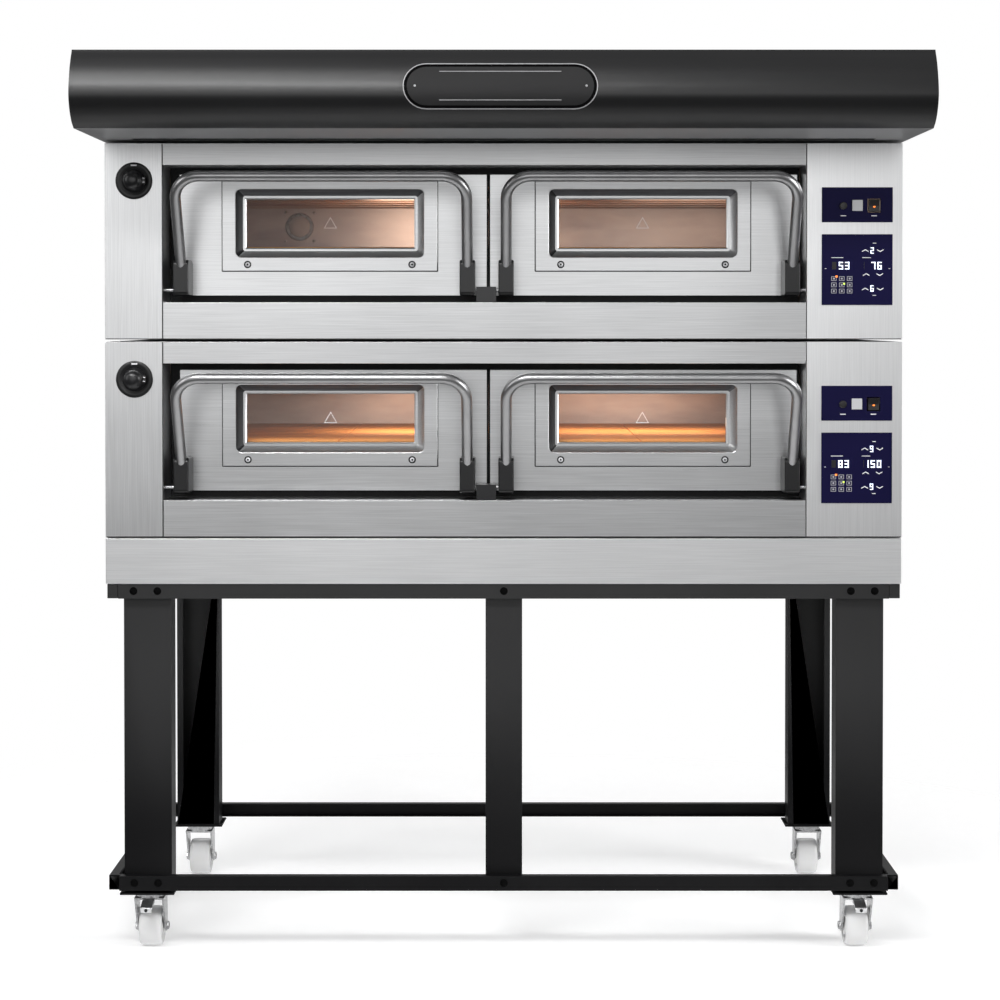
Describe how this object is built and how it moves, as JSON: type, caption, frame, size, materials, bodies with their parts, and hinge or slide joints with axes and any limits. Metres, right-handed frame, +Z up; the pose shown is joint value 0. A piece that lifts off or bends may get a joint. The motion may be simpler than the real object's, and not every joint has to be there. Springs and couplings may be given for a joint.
{
  "type": "deck pizza oven",
  "caption": "Stacked electric pizza deck ovens with glazed drop-down doors, curved hood and an open stand on castors.",
  "frame": {"origin": "on the floor under the centre of the bounding box", "axes": "+Z up, -Y towards the person using it, +X to the right of that person as they face it"},
  "size_m": [1.616, 1.4, 1.847],
  "materials": {
    "powder_black": "fine satin powder coat",
    "brushed_stainless": "brushed",
    "dark_steel": "dull",
    "black_plastic": "matte",
    "panel_glass": "gloss",
    "zinc_plate": "zinc plated",
    "white_nylon": "satin",
    "baking_stone": "rough fired stone",
    "oven_glass": "clear"
  },
  "bodies": {
    "frame": {"leg_front_left": "powder_black", "leg_front_right": "powder_black", "leg_rear_left": "powder_black", "leg_rear_right": "powder_black", "leg_centre": "powder_black", "stand_top_frame": "powder_black", "stand_lower_frame": "powder_black", "base_panel": "brushed_stainless", "hood_front": "powder_black", "hood_canopy": "brushed_stainless", "lower_casing": "brushed_stainless", "lower_chamber": "dark_steel", "lower_stone": "baking_stone", "lower_left_pillar": "brushed_stainless", "lower_control_pillar": "brushed_stainless", "lower_lintel": "brushed_stainless", "lower_sill": "brushed_stainless", "lower_pivot_block": "black_plastic", "lower_switch_panel": "panel_glass", "lower_display_panel": "panel_glass", "upper_casing": "brushed_stainless", "upper_chamber": "dark_steel", "upper_stone": "baking_stone", "upper_left_pillar": "brushed_stainless", "upper_control_pillar": "brushed_stainless", "upper_lintel": "brushed_stainless", "upper_sill": "brushed_stainless", "upper_pivot_block": "black_plastic", "upper_switch_panel": "panel_glass", "upper_display_panel": "panel_glass"},
    "lower_left_door": {"lower_left_door_panel": "brushed_stainless", "lower_left_window_frame": "brushed_stainless", "lower_left_door_glass": "oven_glass", "lower_left_handle": "brushed_stainless"},
    "lower_right_door": {"lower_right_door_panel": "brushed_stainless", "lower_right_window_frame": "brushed_stainless", "lower_right_door_glass": "oven_glass", "lower_right_handle": "brushed_stainless"},
    "lower_knob": {"lower_knob": "black_plastic"},
    "lower_rocker": {"lower_rocker_switch": "black_plastic"},
    "upper_left_door": {"upper_left_door_panel": "brushed_stainless", "upper_left_window_frame": "brushed_stainless", "upper_left_door_glass": "oven_glass", "upper_left_handle": "brushed_stainless"},
    "upper_right_door": {"upper_right_door_panel": "brushed_stainless", "upper_right_window_frame": "brushed_stainless", "upper_right_door_glass": "oven_glass", "upper_right_handle": "brushed_stainless"},
    "upper_knob": {"upper_knob": "black_plastic"},
    "upper_rocker": {"upper_rocker_switch": "black_plastic"},
    "swivel_front_left": {"castor_fork_front_left": "zinc_plate"},
    "wheel_front_left": {"castor_wheel_front_left": "white_nylon"},
    "brake_left": {"castor_brake_left": "black_plastic"},
    "swivel_front_right": {"castor_fork_front_right": "zinc_plate"},
    "wheel_front_right": {"castor_wheel_front_right": "white_nylon"},
    "brake_right": {"castor_brake_right": "black_plastic"},
    "swivel_rear_left": {"castor_fork_rear_left": "zinc_plate"},
    "wheel_rear_left": {"castor_wheel_rear_left": "white_nylon"},
    "swivel_rear_right": {"castor_fork_rear_right": "zinc_plate"},
    "wheel_rear_right": {"castor_wheel_rear_right": "white_nylon"}
  },
  "joints": [
    {"name": "lower_left_door_hinge", "type": "hinge", "parent": "frame", "child": "lower_left_door", "pos_m": [-0.347, -0.335, 0.943], "axis": [1, 0, 0], "range_deg": [0, 88]},
    {"name": "lower_right_door_hinge", "type": "hinge", "parent": "frame", "child": "lower_right_door", "pos_m": [0.285, -0.335, 0.943], "axis": [1, 0, 0], "range_deg": [0, 88]},
    {"name": "lower_knob_turn", "type": "hinge", "parent": "frame", "child": "lower_knob", "pos_m": [-0.741, -0.38, 1.162], "axis": [0, 1, 0], "range_deg": [0, 90]},
    {"name": "lower_rocker_tilt", "type": "hinge", "parent": "frame", "child": "lower_rocker", "pos_m": [0.7425, -0.3625, 1.112], "axis": [1, 0, 0], "range_deg": [0, 10]},
    {"name": "upper_left_door_hinge", "type": "hinge", "parent": "frame", "child": "upper_left_door", "pos_m": [-0.347, -0.335, 1.341], "axis": [1, 0, 0], "range_deg": [0, 88]},
    {"name": "upper_right_door_hinge", "type": "hinge", "parent": "frame", "child": "upper_right_door", "pos_m": [0.285, -0.335, 1.341], "axis": [1, 0, 0], "range_deg": [0, 88]},
    {"name": "upper_knob_turn", "type": "hinge", "parent": "frame", "child": "upper_knob", "pos_m": [-0.741, -0.38, 1.56], "axis": [0, 1, 0], "range_deg": [0, 90]},
    {"name": "upper_rocker_tilt", "type": "hinge", "parent": "frame", "child": "upper_rocker", "pos_m": [0.7425, -0.3625, 1.51], "axis": [1, 0, 0], "range_deg": [0, 10]},
    {"name": "swivel_front_left_turn", "type": "hinge", "parent": "frame", "child": "swivel_front_left", "pos_m": [-0.72, -0.3057, 0.1], "axis": [0, 0, 1], "continuous": true},
    {"name": "wheel_front_left_spin", "type": "hinge", "parent": "swivel_front_left", "child": "wheel_front_left", "pos_m": [-0.72, -0.2797, 0.04], "axis": [1, 0, 0], "continuous": true},
    {"name": "brake_left_press", "type": "hinge", "parent": "swivel_front_left", "child": "brake_left", "pos_m": [-0.72, -0.3297, 0.102], "axis": [1, 0, 0], "range_deg": [0, 12]},
    {"name": "swivel_front_right_turn", "type": "hinge", "parent": "frame", "child": "swivel_front_right", "pos_m": [0.72, -0.3057, 0.1], "axis": [0, 0, 1], "continuous": true},
    {"name": "wheel_front_right_spin", "type": "hinge", "parent": "swivel_front_right", "child": "wheel_front_right", "pos_m": [0.72, -0.2797, 0.04], "axis": [1, 0, 0], "continuous": true},
    {"name": "brake_right_press", "type": "hinge", "parent": "swivel_front_right", "child": "brake_right", "pos_m": [0.72, -0.3297, 0.102], "axis": [1, 0, 0], "range_deg": [0, 12]},
    {"name": "swivel_rear_left_turn", "type": "hinge", "parent": "frame", "child": "swivel_rear_left", "pos_m": [-0.7, 0.3057, 0.1], "axis": [0, 0, 1], "continuous": true},
    {"name": "wheel_rear_left_spin", "type": "hinge", "parent": "swivel_rear_left", "child": "wheel_rear_left", "pos_m": [-0.7, 0.3317, 0.04], "axis": [1, 0, 0], "continuous": true},
    {"name": "swivel_rear_right_turn", "type": "hinge", "parent": "frame", "child": "swivel_rear_right", "pos_m": [0.7, 0.3057, 0.1], "axis": [0, 0, 1], "continuous": true},
    {"name": "wheel_rear_right_spin", "type": "hinge", "parent": "swivel_rear_right", "child": "wheel_rear_right", "pos_m": [0.7, 0.3317, 0.04], "axis": [1, 0, 0], "continuous": true}
  ]
}
